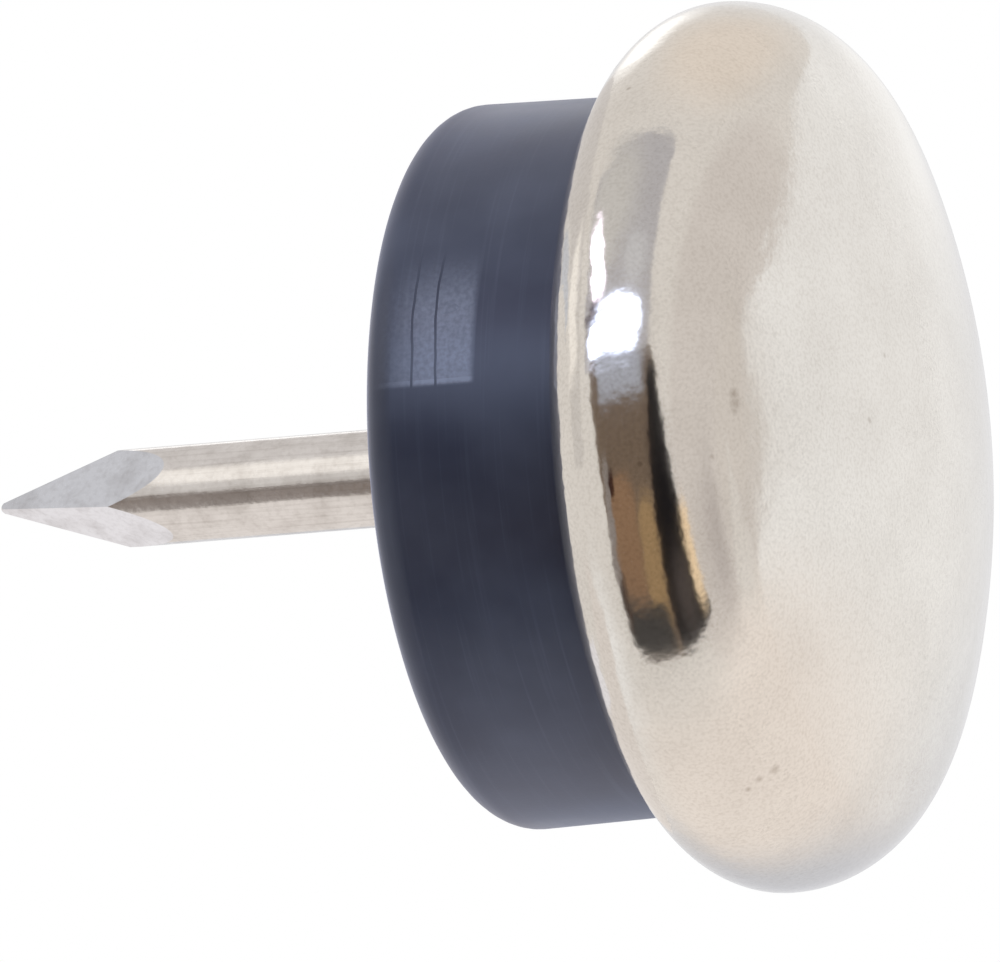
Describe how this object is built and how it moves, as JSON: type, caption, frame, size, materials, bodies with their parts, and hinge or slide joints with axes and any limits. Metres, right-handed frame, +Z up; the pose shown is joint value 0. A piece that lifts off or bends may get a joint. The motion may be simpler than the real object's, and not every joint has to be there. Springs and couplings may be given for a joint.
{
  "type": "nail on furniture glide",
  "caption": "Domed nickel-plated steel glide with a dark plastic cushion ring and a central nail, hammered into the end of a furniture leg.",
  "frame": {"origin": "lowest point of the domed face, on the axis of the nail, where the glide touches the floor", "axes": "+Z up the nail towards its point; the glide is round about Z apart from the four facets of the point"},
  "size_m": [0.024, 0.024, 0.027],
  "materials": {
    "nickel_plated_sheet": "polished nickel plate",
    "moulded_plastic": "satin moulded",
    "nickel_plated_wire": "drawn wire, nickel plated"
  },
  "bodies": {
    "root": {"steel_cap": "nickel_plated_sheet", "cushion": "moulded_plastic", "nail": "nickel_plated_wire"}
  },
  "joints": []
}
